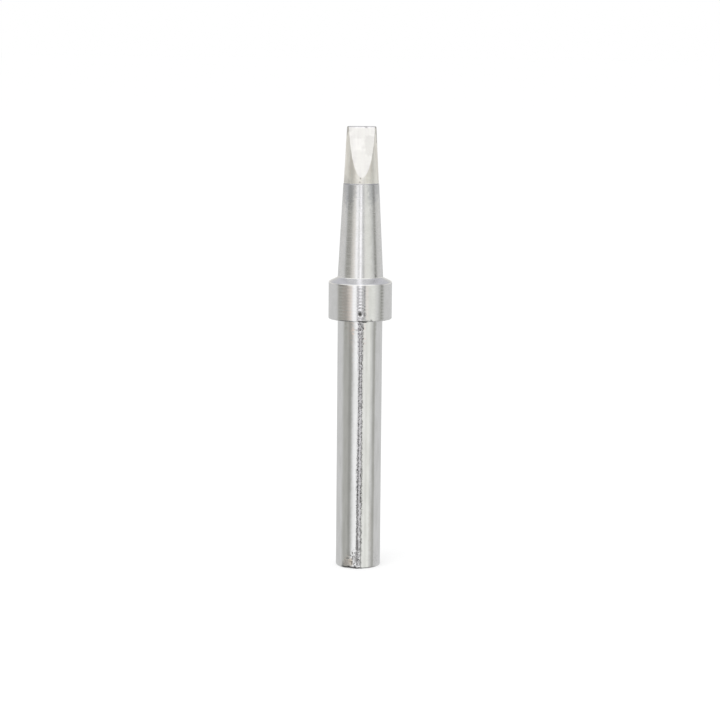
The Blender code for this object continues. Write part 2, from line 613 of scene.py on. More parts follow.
@dataclass(frozen=True)
class Collar(TipPart):
    """The collar: a chamfer above, a turned wall with its feed marks, and a square seat below."""

    chamfer_rows: int = 9
    wall_rows: int = 84
    seat_rows: int = 8
    feed: float = 0.34 * MM
    feed_depth: float = 3.0 * MICRON
    wander: float = 0.16
    evenness: float = 0.75
    fading: float = 0.45

    def corners(self) -> list[Corner]:
        """Outlines the chamfer, the wall and the seat.

        Returns:
            The corners, from the working end down.
        """
        sizes = self.sizes
        top, seat = sizes.collar_top, sizes.shank_length
        return [
            Corner(sizes.cone_base_radius, sizes.cone_base, sizes.cone_root_radius, self.chamfer_rows,
                   Metal.PLATING, False),
            Corner(sizes.collar_radius, top, sizes.shoulder_radius, self.wall_rows, Metal.COLLAR),
            Corner(sizes.collar_radius, seat, sizes.collar_edge_break, self.seat_rows, Metal.PLATING, False),
        ]

    def relief(self, angle: np.ndarray, height: np.ndarray) -> np.ndarray:
        """Scalloped feed marks of the lathe, one turn apart, which wind round the wall.

        Args:
            angle: Angles round the tip.
            height: Heights above the rear face.

        Returns:
            The height that the metal adds at each place.
        """
        wobble = SurfaceNoise(seed=11, across=0.9 * MM, tall=0.9 * MM).at(angle, height)
        faded = SurfaceNoise(seed=12, across=1.2 * MM, tall=0.5 * MM).at(angle, height)
        phase = height / self.feed + angle / (2 * math.pi) + self.wander * wobble
        scallop = np.sin(math.pi * phase) ** 2
        return -self.feed_depth * (1 - scallop) * (self.evenness + self.fading * faded)

    def marks(self) -> list[WearMark]:
        """A pit and a dent in the wall, then a groove, the nick and a small nick along the lower edge.

        Returns:
            The marks, in that order.
        """
        seat = self.sizes.shank_length
        return [
            WearMark(patch_at(seat, -1.9, 0.76, 0.32, 0.44), 70 * MICRON, dirt=1.0),
            WearMark(patch_at(seat, 5.6, 0.82, 0.16, 0.44), 30 * MICRON, dirt=0.75),
            WearMark(patch_at(seat, 5.2, 0.28, 0.80, 0.17), 11 * MICRON),
            WearMark(patch_at(seat, 9, 0, 1.10, 0.30), 90 * MICRON, 10 * MICRON, 0.45),
            WearMark(patch_at(seat, 18.5, 0.10, 0.26, 0.30), 40 * MICRON, dirt=0.6),
        ]

    def stains(self) -> list[Stain]:
        """Dirt along the lower edge, in broken runs, with painted shade for the long run at the left, and a
        darker band under the chamfer's corner at the left.

        Returns:
            The stains, in any order.
        """
        corner = stains_at(StainKind.SOOT_AND_SHADE, self.sizes.collar_top, (-38, -0.13, 1.4, 0.20, 0.26, 0.3))
        return corner + stains_at(
            StainKind.SOOT_AND_SHADE, self.sizes.shank_length,
            # painted shade, not dirt: the dark run along the lower edge at the left stands in for the shade
            # reflected from the collar's underside
            (-29, 0.03, 1.7, 0.18, 0.45, 0.5),
            (-2.4, 0.86, 0.38, 0.52, 0.92, 0.2, 0.6),
            (-1, 0.04, 0.85, 0.24, 0.90, 0.5),
            (8, 0.02, 0.8, 0.16, 0.85, 0.4),
            (18.5, 0.14, 0.22, 0.26, 0.6, 0.4),
        )


@dataclass(frozen=True)
class Shank(TipPart):
    """The drawn shank, pitted along the front and chipped and burnt at its rear edge, with painted shade on
    the rim there and painted reflections of dark strips low on its front.
    """

    wall_rows: int = 250
    rear_rows: int = 14
    waves: float = 1.8 * MICRON
    jags: float = 2.8 * MICRON
    pits: float = 2.4 * MICRON
    pit_floor: float = 0.35
    pit_gain: float = 1.5
    ring_lines: float = 0.8 * MICRON
    ring_reach: float = 2.6 * MM
    ring_floor: float = 0.15
    draw_lines: float = 0.9 * MICRON
    seam_width: float = math.radians(26)
    seam_floor: float = 0.25
    blotch_depth: float = 20 * MICRON
    mottle_depth: float = 5 * MICRON
    rough_reach: float = 1.15
    rough_fade: float = 0.4

    def corners(self) -> list[Corner]:
        """Outlines the wall and the rear face.

        Returns:
            The corners, from the working end down.
        """
        sizes = self.sizes
        return [
            Corner(sizes.shank_radius, sizes.shank_length, sizes.tool_nose_radius, self.wall_rows,
                   Metal.SHANK),
            Corner(sizes.shank_radius, 0.0, sizes.shank_edge_break, self.rear_rows, Metal.SHANK, False),
        ]

    def blotch(self) -> Patch:
        """The rough patch above the rear edge."""
        return patch_at(0, -7, 1.10, 1.05, 2.3)

    def mottle(self) -> Patch:
        """The mottled patch round the bare copper."""
        return patch_at(0, -31, 1.1, 1.3, 2.2)

    def relief(self, angle: np.ndarray, height: np.ndarray) -> np.ndarray:
        """Waves of the drawn metal, jagged pits along its front and the rough patch at the rear.

        Args:
            angle: Angles round the tip.
            height: Heights above the rear face.

        Returns:
            The height that the metal adds at each place.
        """
        slow = SurfaceNoise(seed=21, across=0.60 * MM, tall=0.96 * MM).at(angle, height)
        quick = SurfaceNoise(seed=22, across=0.26 * MM, tall=0.17 * MM).at(angle, height)
        fine = SurfaceNoise(seed=23, across=0.17 * MM, tall=0.14 * MM).at(angle, height)
        lines = SurfaceNoise(seed=25, across=2.4 * MM, tall=0.13 * MM).at(angle, height)
        drawn = SurfaceNoise(seed=26, across=0.24 * MM, tall=5.0 * MM).at(angle, height)
        turn = (angle + math.pi) % (2 * math.pi) - math.pi
        seam = self.seam_floor + (1 - self.seam_floor) * np.exp(-((turn / self.seam_width) ** 2))
        sunk = np.clip(fine - self.pit_floor, 0, None) * self.pit_gain
        wall = self.waves * slow + self.draw_lines * drawn + seam * (self.jags * quick - self.pits * sunk)
        below = (self.sizes.shank_length - height) / self.ring_reach
        wall += self.ring_lines * lines * np.clip(1 - below, self.ring_floor, 1)
        rough = SurfaceNoise(seed=24, across=0.19 * MM, tall=0.19 * MM).at(angle, height)
        radius = np.full(height.shape, self.sizes.shank_radius)
        for patch, depth in ((self.blotch(), self.blotch_depth), (self.mottle(), self.mottle_depth)):
            inside = self.rough_reach - patch.reach(angle, height, radius)
            wall += depth * rough * np.clip(inside / self.rough_fade, 0, 1)
        return wall

    def marks(self) -> list[WearMark]:
        """The chip in the rear edge, and three pocks below the collar from the top one down.

        Returns:
            The marks, in that order.
        """
        seat = self.sizes.shank_length
        return [
            WearMark(patch_at(0, -25, 0, 1.20, 0.30), 50 * MICRON, 4 * MICRON, 0.8),
            WearMark(patch_at(seat, -1.8, -0.40, 0.26, 0.26), 12 * MICRON, dirt=0.95),
            WearMark(patch_at(seat, 4.0, -0.68, 0.24, 0.28), 10 * MICRON, dirt=0.9),
            WearMark(patch_at(seat, -1.4, -0.96, 0.28, 0.24), 12 * MICRON, dirt=0.95),
        ]

    def stains(self) -> list[Stain]:
        """Bare copper and burnt dirt at the rear edge, painted shade along its rim, dark streaks painted low
        on the front where the dark strips' reflections fall, pits along the front and dirty rings at the
        top.

        Returns:
            The stains, in any order.
        """
        seat = self.sizes.shank_length
        darkened = stains_at(
            StainKind.SOOT_AND_SHADE, 0,
            (-34, 0.62, 0.75, 0.80, 0.28, 0.6),
            (-31, 1.12, 0.48, 0.16, 0.50, 0.5),
            # painted shade, not dirt: these two dark runs along the rear rim stand in for shade at the tip's
            # foot
            (-24, 0.06, 2.0, 0.42, 0.97, 0.4),
            (4, 0.05, 0.7, 0.24, 0.65, 0.6),
            (-11, 1.00, 0.16, 0.9, 0.45, 0.8),
            (-13.7, 0.52, 0.15, 0.28, 0.65, 0.3),
            (-11, 0.34, 0.15, 0.24, 0.75, 0.3),
            (-9, 0.22, 0.20, 0.20, 0.90, 0.3),
            (-44.5, 0.34, 0.22, 0.7, 0.45, 0.4),
            # painted reflection, not dirt: these five thin dark streaks low on the front repeat the
            # reflected dark strips
            (-5, 1.3, 0.18, 1.7, 0.60, 0.9),
            (4.9, 2.0, 0.17, 3.4, 0.60, 0.7),
            (4.6, 1.0, 0.20, 1.6, 0.55, 0.6),
            (-4.7, 2.5, 0.21, 2.9, 0.70, 0.5),
            (-4.1, 4.7, 0.15, 6.6, 0.60, 0.7),
            (29.5, 4.2, 0.40, 7.0, 0.08, 0.6, 1.0),
        )
        bare = stains_at(
            StainKind.COPPER, 0,
            (-21, 0.72, 0.46, 0.80, 0.90, 0.4),
            (-34, 0.66, 0.85, 1.1, 0.62, 0.5),
            (30, 4.2, 0.35, 6.5, 0.22, 0.6, 1.0),
        )
        pitted = stains_at(
            StainKind.PITS, 0,
            (-2.4, 19.2, 0.22, 15.0, 1.0, 0.3, 0.9),
            (3.3, 22.8, 0.20, 8.0, 1.0, 0.3, 0.9),
            (4.3, 15.2, 0.20, 8.6, 1.0, 0.3, 0.9),
            (-4.6, 7.0, 0.28, 13.0, 1.0, 0.3, 0.9),
            (3.9, 7.0, 0.24, 13.0, 1.0, 0.3, 0.9),
            (-9, 1.10, 1.05, 2.2, 0.75, 0.5),
            (44, 0.8, 1.4, 1.6, 0.12, 0.6),
        )
        below_collar = stains_at(StainKind.PITS, seat, (-2.0, -0.6, 0.42, 1.3, 0.7, 0.5))
        rings = stains_at(
            StainKind.SOOT_AND_SHADE, seat,
            (-10, -0.98, 0.80, 0.12, 0.42, 0.3, 0.8),
            (-10, -1.34, 0.70, 0.10, 0.10, 0.3, 0.8),
        )
        return darkened + bare + pitted + below_collar + rings


@dataclass
class TurnedOutline:
    """The round outline as rows of rings, with each of its corners rounded by the tool."""

    sizes: TipSizes
    arc_rows: int = 4

    def arc(self, before: Vector, corner: Vector, after: Vector,
            nose: float) -> tuple[Vector, list[Vector], Vector]:
        """Rounds a corner of the outline.

        Args:
            before: Radius and height of the point before the corner.
            corner: Radius and height of the corner.
            after: Radius and height of the point after it.
            nose: Radius of the rounding.

        Returns:
            Where the arc starts, the points along it and where it ends.
        """
        if not nose:
            return corner, [], corner
        back = (before - corner).normalized()
        ahead = (after - corner).normalized()
        half = back.angle(ahead) / 2
        reach = nose / math.tan(half)
        centre = corner + (back + ahead).normalized() * (nose / math.sin(half))
        start = corner + back * reach - centre
        finish = corner + ahead * reach - centre
        turn = start.angle_signed(finish)
        points = []
        for step in range(self.arc_rows):
            spin = Matrix.Rotation(-turn * step / self.arc_rows, 2)
            points.append(centre + spin @ start)
        return centre + start, points, centre + finish

    def rows(self, parts: list[TipPart]) -> list[Row]:
        """Rows of the round part, from the flats' foot down to the rear face.

        Args:
            parts: The tip's parts, from the working end down.

        Returns:
            The rows, in order.
        """
        owned = [(part, corner) for part in parts for corner in part.corners()]
        places = [Vector((corner.radius, corner.height)) for _, corner in owned] + [Vector((0, 0))]
        rows = []
        for index, (part, corner) in enumerate(owned):
            arc, leave = [], places[index]
            if index:
                before, after = places[index - 1], places[index + 1]
                _, arc, leave = self.arc(before, places[index], after, corner.nose)
            if index + 1 < len(owned):
                following = owned[index + 1][1]
                after_next = places[index + 2]
                arrive, _, _ = self.arc(places[index], places[index + 1], after_next, following.nose)
            else:
                arrive = places[-1]
            for point in arc:
                rows.append(Row(point.y, point.x, part, corner.metal, False))
            for step in range(corner.rows):
                spot = leave.lerp(arrive, step / corner.rows)
                rows.append(Row(spot.y, spot.x, part, corner.metal, corner.worked))
        return rows


@dataclass
class Sections:
    """Places the points of each ring: round below the flats, and rounded flats and sides above."""

    sizes: TipSizes
    flat_points: int = 10
    fillet_points: int = 6
    side_points: int = 24
    relax_length: float = 2.6 * MM

    @property
    def around(self) -> int:
        """Number of points round a ring."""
        return 4 * (self.flat_points + self.fillet_points + self.side_points)

    def quarter(self, radius: float, distance: float) -> np.ndarray:
        """A quarter of the chisel's section, from the middle of a flat to the middle of a side.

        Args:
            radius: Radius of the round sides.
            distance: Distance of the flat from the axis.

        Returns:
            Points as rows of (towards the side, towards the flat).
        """
        fillet = self.sizes.chisel_edge_radius
        centre_y = distance - fillet
        centre_x = math.sqrt(max((radius - fillet) ** 2 - centre_y**2, 0.0))
        lean = math.atan2(centre_x, centre_y)
        across = np.linspace(0, centre_x, self.flat_points, endpoint=False)
        flat = np.stack([across, np.full_like(across, distance)], 1)
        bend = np.linspace(0, lean, self.fillet_points, endpoint=False)
        corner = np.stack([centre_x + fillet * np.sin(bend), centre_y + fillet * np.cos(bend)], 1)
        sweep = np.linspace(lean, math.pi / 2, self.side_points + 1)
        side = np.stack([radius * np.sin(sweep), radius * np.cos(sweep)], 1)
        return np.concatenate([flat, corner, side])

    def whole(self, quarter: np.ndarray) -> np.ndarray:
        """Joins four quarters of a section.

        Args:
            quarter: Points of one quarter.

        Returns:
            Points of the whole section, counter-clockwise from the middle of the -Y flat.
        """
        x, y = quarter[:, 0], quarter[:, 1]
        turns = [
            np.stack([x, -y], 1)[:-1],
            np.stack([x, y], 1)[::-1][:-1],
            np.stack([-x, y], 1)[:-1],
            np.stack([-x, -y], 1)[::-1][:-1],
        ]
        return np.concatenate(turns)

    def on_flat(self) -> np.ndarray:
        """Tells which columns of faces lie on the two flats.

        Returns:
            True for each column that lies on a flat, out to the middle of its fillets.
        """
        half = self.around // 2
        past = (np.arange(self.around) + 0.5) % half
        return np.minimum(past, half - past) < self.flat_points + self.fillet_points / 2

    def rings(self, rows: list[Row]) -> np.ndarray:
        """Points of every ring.

        Args:
            rows: The rings, in order from the chisel's edge.

        Returns:
            An array of rows by points by three.
        """
        even = np.arange(self.around) * (2 * math.pi / self.around)
        first = next(row for row in reversed(rows) if row.flat is not None)
        foot = self.whole(self.quarter(first.radius, first.flat))
        crowded = np.unwrap(np.arctan2(foot[:, 0], -foot[:, 1]))
        made = np.zeros((len(rows), self.around, 3))
        for index, row in enumerate(rows):
            if row.flat is not None:
                ring = self.whole(self.quarter(row.radius, row.flat)) * row.shrink
            else:
                share = min(max((self.sizes.flat_start - row.height) / self.relax_length, 0), 1)
                angle = crowded + (even - crowded) * smooth(share)
                ring = np.stack([np.sin(angle), -np.cos(angle)], 1) * row.radius
            made[index, :, :2] = ring
            made[index, :, 2] = row.height
        return made


@dataclass
class Graph:
    """The node tree of a material or the world, with short calls for the nodes used here."""

    owner: bpy.types.Material | bpy.types.World
    shader_types: tuple[str, str] = ("BSDF_PRINCIPLED", "BACKGROUND")

    def __post_init__(self) -> None:
        """Keeps the tree and its shader at hand."""
        self.owner.use_nodes = True
        self.tree = self.owner.node_tree
        self.shader = next(node for node in self.tree.nodes if node.type in self.shader_types)

    def show(self, shader: bpy.types.Node) -> None:
        """Makes a shader the one that the material's surface wears."""
        self.feed(self.tree.nodes["Material Output"].inputs["Surface"], shader.outputs[0])

    def node(self, kind: str, **settings: object) -> bpy.types.Node:
        """Adds a node of a kind and sets its properties.

        Args:
            kind: The node's type.
            settings: Its properties, by name.

        Returns:
            The node.
        """
        made = self.tree.nodes.new(kind)
        for name, value in settings.items():
            setattr(made, name, value)
        return made

    def feed(self, target: Socket, value: object) -> None:
        """Links a socket to an input, or writes a plain value there.

        Args:
            target: The input.
            value: The socket or the plain value.
        """
        if isinstance(value, Socket):
            self.tree.links.new(value, target)
        else:
            target.default_value = value

    def place(self) -> Socket:
        """The place on the object, in metres."""
        return self.node("ShaderNodeTexCoord").outputs["Object"]

    def kept(self, name: str) -> Socket:
        """A value kept on the mesh under a name."""
        return self.node("ShaderNodeAttribute", attribute_name=name).outputs["Fac"]

    def noise(self, place: Socket, size: tuple[float, float, float], detail: float = 3.0) -> Socket:
        """Noise from 0 to 1.

        Args:
            place: Where it is read.
            size: Size of its cells along X, Y and Z, in metres.
            detail: How many finer layers it has.

        Returns:
            The socket that carries it.
        """
        scaled = self.node("ShaderNodeVectorMath", operation="MULTIPLY")
        self.feed(scaled.inputs[0], place)
        self.feed(scaled.inputs[1], tuple(1 / length for length in size))
        made = self.node("ShaderNodeTexNoise")
        self.feed(made.inputs["Vector"], scaled.outputs[0])
        made.inputs["Scale"].default_value = 1.0
        made.inputs["Detail"].default_value = detail
        return made.outputs["Fac"]

    def calc(self, kind: str, first: object, second: object = 0.0, third: object = 0.0) -> Socket:
        """Works out a number with a Math node.

        Args:
            kind: What the node does.
            first: Its first socket or value.
            second: Its second one.
            third: Its third one.

        Returns:
            The socket that carries the result.
        """
        made = self.node("ShaderNodeMath", operation=kind)
        for socket, value in zip(made.inputs, (first, second, third)):
            self.feed(socket, value)
        return made.outputs[0]

    def span(self, value: object, low: float, high: float, start: float = 0.0,
             finish: float = 1.0) -> Socket:
        """Maps a value onto a smooth step.

        Args:
            value: The value.
            low: Where the step starts.
            high: Where it ends.
            start: What it gives up to low.
            finish: What it gives from high on.

        Returns:
            The socket that carries the result.
        """
        made = self.node("ShaderNodeMapRange", interpolation_type="SMOOTHSTEP")
        names = ("Value", "From Min", "From Max", "To Min", "To Max")
        for name, number in zip(names, (value, low, high, start, finish)):
            self.feed(made.inputs[name], number)
        return made.outputs[0]

    def blend(self, factor: object, first: object, second: object) -> Socket:
        """Mixes two colours.

        Args:
            factor: How much of the second colour there is.
            first: The first colour.
            second: The second colour.

        Returns:
            The socket that carries the mixed colour.
        """
        made = self.node("ShaderNodeMix", data_type="RGBA")
        colours = [socket for socket in made.inputs if socket.type == "RGBA"]
        self.feed(made.inputs["Factor"], factor)
        for socket, value in zip(colours, (first, second)):
            self.feed(socket, value if isinstance(value, Socket) else (*value, 1))
        return next(socket for socket in made.outputs if socket.type == "RGBA")

    def bump(self, height: Socket, distance: float) -> Socket:
        """Bends the normal by a height.

        Args:
            height: The height, from 0 to 1.
            distance: How many metres 1 stands for.

        Returns:
            The socket that carries the normal.
        """
        made = self.node("ShaderNodeBump")
        made.inputs["Strength"].default_value = 1.0
        made.inputs["Distance"].default_value = distance
        self.feed(made.inputs["Height"], height)
        return made.outputs[0]

    def lay_tangent(self) -> None:
        """Turns the shader's grain so that highlights spread along the tip's axis."""
        grain = self.node("ShaderNodeTangent", direction_type="RADIAL", axis="Z")
        self.feed(self.shader.inputs["Tangent"], grain.outputs[0])
        self.shader.inputs["Anisotropic Rotation"].default_value = QUARTER_TURN


@dataclass(frozen=True)
class Grain:
    """What a finish's texture gives: a smear of shade, a grain of gloss and a bent normal."""

    smear: Socket
    gloss: Socket
    normal: Socket


@dataclass(frozen=True)
class Finish(ABC):
    """A metal finish with two shades, an uneven gloss and the stains and painted shade that the skin
    carries.
    """

    name: str
    colour: Colour
    shade: Colour
    roughness: float
    anisotropy: float = 0.0
    # colour of soot and of the painted shade and painted reflections
    soot: Colour = (0.085, 0.08, 0.08)
    copper: Colour = (0.95, 0.89, 0.81)
    bloom: Colour = (0.60, 0.61, 0.63)
    dull: float = 0.55
    bloom_roughness: float = 0.30
    copper_roughness: float = 0.85
    smear_span: tuple[float, float] = (0.35, 0.70)
    gloss_span: tuple[float, float] = (0.30, 0.72)
    glossier: float = 0.85
    duller: float = 1.17

    @abstractmethod
    def grain(self, graph: Graph, place: Socket) -> Grain:
        """Adds the finish's own texture to a graph."""

    def dirt(self, graph: Graph, grain: Grain) -> Socket:
        """How much dirt and painted shade lies on the metal, from 0 to 1."""
        return graph.kept(StainKind.SOOT_AND_SHADE.value)

    def material(self) -> bpy.types.Material:
        """Builds the finish's material.

        Returns:
            The material.
        """
        graph = Graph(bpy.data.materials.new(self.name))
        shader = graph.shader
        grain = self.grain(graph, graph.place())
        colour = graph.blend(graph.span(grain.smear, *self.smear_span), self.colour, self.shade)
        smooth_end, rough_end = self.roughness * self.glossier, self.roughness * self.duller
        rough = graph.span(grain.gloss, *self.gloss_span, smooth_end, rough_end)
        for share, stained, dulled in (
            (graph.kept(StainKind.HEAT.value), self.bloom, self.bloom_roughness),
            (graph.kept(StainKind.COPPER.value), self.copper, self.copper_roughness),
            (self.dirt(graph, grain), self.soot, self.dull),
        ):
            colour = graph.blend(share, colour, stained)
            rough = graph.calc("MAXIMUM", rough, graph.calc("MULTIPLY", share, dulled))
        graph.feed(shader.inputs["Base Color"], colour)
        graph.feed(shader.inputs["Roughness"], rough)
        graph.feed(shader.inputs["Normal"], grain.normal)
        shader.inputs["Metallic"].default_value = 1.0
        shader.inputs["Anisotropic"].default_value = self.anisotropy
        if self.anisotropy:
            graph.lay_tangent()
        return graph.owner


@dataclass(frozen=True)
class TurnedFinish(Finish):
    """Bright plating over turned metal, with fine lines round the axis."""

    line_pitch: float = 0.09 * MM
    line_depth: float = 0.9 * MICRON
    line_length: float = 2.5 * MM
    smear_size: float = 0.8 * MM

    def grain(self, graph: Graph, place: Socket) -> Grain:
        """Fine lines round the axis, with slow smears over them.

        Args:
            graph: The finish's graph.
            place: The place on the object.

        Returns:
            The texture.
        """
        lines = graph.noise(place, (self.line_length, self.line_length, self.line_pitch))
        smear = graph.noise(place, (self.smear_size,) * 3)
        return Grain(smear, lines, graph.bump(lines, self.line_depth))


@dataclass(frozen=True)
class PittedFinish(Finish):
    """Plating over the drawn shank, lightly pitted, with smears along it."""

    pit_size: tuple[float, float, float] = (0.17 * MM, 0.17 * MM, 0.22 * MM)
    pit_layers: float = 2.0
    pit_depth: float = 1.4 * MICRON
    worn_pits: float = 3.5
    pit_dirt: float = 0.85
    pit_span: tuple[float, float] = (0.50, 0.57)
    smear_size: tuple[float, float, float] = (0.5 * MM, 0.5 * MM, 2.2 * MM)

    def grain(self, graph: Graph, place: Socket) -> Grain:
        """Small pits, with smears drawn out along the tip.

        Args:
            graph: The finish's graph.
            place: The place on the object.

        Returns:
            The texture.
        """
        pits = graph.noise(place, self.pit_size, self.pit_layers)
        smear = graph.noise(place, self.smear_size)
        deeper = graph.calc("MULTIPLY_ADD", graph.kept(StainKind.PITS.value), self.worn_pits, 1.0)
        height = graph.calc("MULTIPLY", pits, deeper)
        return Grain(smear, pits, graph.bump(height, self.pit_depth))

    def dirt(self, graph: Graph, grain: Grain) -> Socket:
        """Adds the burnt dirt that the pits hold to the stains.

        Args:
            graph: The finish's graph.
            grain: The finish's texture.

        Returns:
            How much dirt and painted shade there is, from 0 to 1.
        """
        held = graph.span(grain.gloss, *self.pit_span, 0.0, self.pit_dirt)
        held = graph.calc("MULTIPLY", held, graph.kept(StainKind.PITS.value))
        return graph.calc("MAXIMUM", graph.kept(StainKind.SOOT_AND_SHADE.value), held)


@dataclass(frozen=True)
class SolderFinish(Finish):
    """Satin solder skin, wiped along the tip."""

    grain_size: float = 0.25 * MM
    grain_depth: float = 2.5 * MICRON
    smear_size: tuple[float, float, float] = (0.45 * MM, 0.9 * MM, 2.6 * MM)

    def grain(self, graph: Graph, place: Socket) -> Grain:
        """Fine grain, with wiped streaks over it.

        Args:
            graph: The finish's graph.
            place: The place on the object.

        Returns:
            The texture.
        """
        grain = graph.noise(place, (self.grain_size,) * 3)
        smear = graph.noise(place, self.smear_size)
        return Grain(smear, smear, graph.bump(grain, self.grain_depth))


def finishes() -> dict[Metal, Finish]:
    """Chooses a finish for each metal.

    Returns:
        The finishes, by metal.
    """
    return {
        Metal.SOLDER_FACE: SolderFinish("solder_face", (0.99, 0.985, 0.97), (0.94, 0.93, 0.925), 0.36),
        Metal.SOLDER_SIDE: SolderFinish("solder_side", (0.95, 0.94, 0.89), (0.89, 0.87, 0.81), 0.40),
        Metal.PLATING: TurnedFinish("bright_plating", (0.87, 0.87, 0.865), (0.83, 0.83, 0.82), 0.24, 0.3),
        Metal.COLLAR: TurnedFinish("collar_plating", (0.87, 0.87, 0.865), (0.83, 0.83, 0.82), 0.17, 0.4,
                                   line_pitch=0.06 * MM, line_depth=0.3 * MICRON),
        Metal.SHANK: PittedFinish("pitted_plating", (0.88, 0.88, 0.875), (0.81, 0.81, 0.80), 0.09),
    }


@dataclass
class TipSkin:
    """The tip's visible surface: one closed mesh over all of its parts."""

    sizes: TipSizes
    name: str = "soldering_tip_skin"

    def build(self) -> bpy.types.Object:
        """Builds and dresses the skin, and puts it in the CAD node's place.

        Returns:
            The skin.
        """
        chisel = ChiselEnd(self.sizes)
        parts = [chisel, Cone(self.sizes), Collar(self.sizes), Shank(self.sizes)]
        rows = chisel.flats() + TurnedOutline(self.sizes).rows(parts)
        sections = Sections(self.sizes)
        rings = sections.rings(rows)
        angle = np.arctan2(rings[..., 0], -rings[..., 1])
        radius = np.hypot(rings[..., 0], rings[..., 1])
        height = rings[..., 2]
        marks = [(mark, mark.patch.reach(angle, height, radius)) for part in parts for mark in part.marks()]
        lift = self.relief(parts, rows, angle, height)
        for mark, reach in marks:
            lift += mark.relief(reach)
        mesh = self.closed_mesh(self.lifted(rings, lift))
        self.dress(mesh, rows, sections)
        covers = self.stained(parts, rows, angle, height, radius)
        for mark, reach in marks:
            covers[StainKind.SOOT_AND_SHADE] = np.maximum(covers[StainKind.SOOT_AND_SHADE], mark.soil(reach))
        for kind, cover in covers.items():
            self.keep(mesh, kind.value, cover)
        made = placed(self.name, mesh)
        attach(made, "root")
        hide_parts(NODE)
        return made

    def relief(self, parts: list[TipPart], rows: list[Row], angle: np.ndarray,
               height: np.ndarray) -> np.ndarray:
        """Gathers what the parts' own metal adds to the bare outline.

        Args:
            parts: The tip's parts.
            rows: The rings' rows.
            angle: Angles round the tip.
            height: Heights above the rear face.

        Returns:
            The heights, rows by points.
        """
        lift = np.zeros(height.shape)
        for part in parts:
            chosen = np.array([row.part is part and row.worked for row in rows])
            lift[chosen] = part.relief(angle[chosen], height[chosen])
        return lift

    def stained(self, parts: list[TipPart], rows: list[Row], angle: np.ndarray, height: np.ndarray,
                radius: np.ndarray) -> dict[StainKind, np.ndarray]:
        """Gathers the parts' stains.

        Args:
            parts: The tip's parts.
            rows: The rings' rows.
            angle: Angles round the tip.
            height: Heights above the rear face.
            radius: Distances from the axis.

        Returns:
            For each kind of stain, how much of it lies at each point, rows by points.
        """
        covers = {kind: np.zeros(height.shape) for kind in StainKind}
        for part in parts:
            own = np.array([row.part is part for row in rows])
            for stain in part.stains():
                lies = stain.cover(angle[own], height[own], radius[own])
                covers[stain.kind][own] = np.maximum(covers[stain.kind][own], lies)
        return covers

    def lifted(self, rings: np.ndarray, lift: np.ndarray) -> np.ndarray:
        """Moves each point along the skin's normal.

        Args:
            rings: Points of the bare outline, rows by points by three.
            lift: How far each one moves.

        Returns:
            The moved points, kept between the rear face and the chisel's edge.
        """
        round_it = np.roll(rings, -1, 1) - np.roll(rings, 1, 1)
        down = np.gradient(rings, axis=0)
        normal = np.cross(down, round_it)
        normal /= np.maximum(np.linalg.norm(normal, axis=2, keepdims=True), TINY)
        moved = rings + normal * lift[..., None]
        reach = np.hypot(moved[..., 0], moved[..., 1])
        moved[..., :2] *= np.minimum(1, self.sizes.collar_radius / np.maximum(reach, TINY))[..., None]
        moved[..., 2] = np.clip(moved[..., 2], 0, self.sizes.length)
        return moved

    def closed_mesh(self, points: np.ndarray) -> bpy.types.Mesh:
        """Joins the rings into one closed mesh with a fan at each end.

        Args:
            points: Points of the rings, rows by points by three.

        Returns:
            The mesh.
        """
        rows, around = points.shape[:2]
        top = [0, 0, float(points[0, :, 2].mean())]
        bottom = [0, 0, float(points[-1, :, 2].mean())]
        places = np.concatenate([points.reshape(-1, 3), [top], [bottom]])
        column = np.arange(around)
        after = (column + 1) % around
        strips = []
        for row in range(rows - 1):
            upper, lower = row * around, (row + 1) * around
            strips.append(np.stack([upper + column, lower + column, lower + after, upper + after], 1))
        last = (rows - 1) * around
        fan_top = np.stack([np.full(around, rows * around), column, after], 1)
        fan_bottom = np.stack([np.full(around, rows * around + 1), last + after, last + column], 1)
        faces = np.concatenate(strips).tolist() + fan_top.tolist() + fan_bottom.tolist()
        mesh = bpy.data.meshes.new(self.name)
        mesh.from_pydata(places.tolist(), [], faces)
        mesh.update()
        mesh.shade_smooth()
        return mesh

    def dress(self, mesh: bpy.types.Mesh, rows: list[Row], sections: Sections) -> None:
        """Gives every face its metal, with a metal of their own for the two flats.

        Args:
            mesh: The skin's mesh.
            rows: The rings' rows.
            sections: The rings' sections.
        """
        for metal, finish in sorted(finishes().items(), key=lambda pair: pair[0].value):
            mesh.materials.append(finish.material())
        around = sections.around
        worn = np.array([row.metal.value for row in rows])
        strips = np.repeat(worn[1:, None], around, 1)
        flats = np.array([row.flat is not None for row in rows])[1:]
        strips[np.ix_(flats, sections.on_flat())] = Metal.SOLDER_FACE.value
        ends = [np.full(around, worn[0]), np.full(around, worn[-1])]
        mesh.polygons.foreach_set("material_index", np.concatenate([strips.ravel(), *ends]))

    def keep(self, mesh: bpy.types.Mesh, name: str, values: np.ndarray) -> None:
        """Keeps a value for every point of the skin under a name.

        Args:
            mesh: The skin's mesh.
            name: The name.
            values: The values, rows by points.
        """
        made = mesh.attributes.new(name, "FLOAT", "POINT")
        ends = [values[0].mean(), values[-1].mean()]
        made.data.foreach_set("value", np.concatenate([values.ravel(), ends]).astype(np.float32))


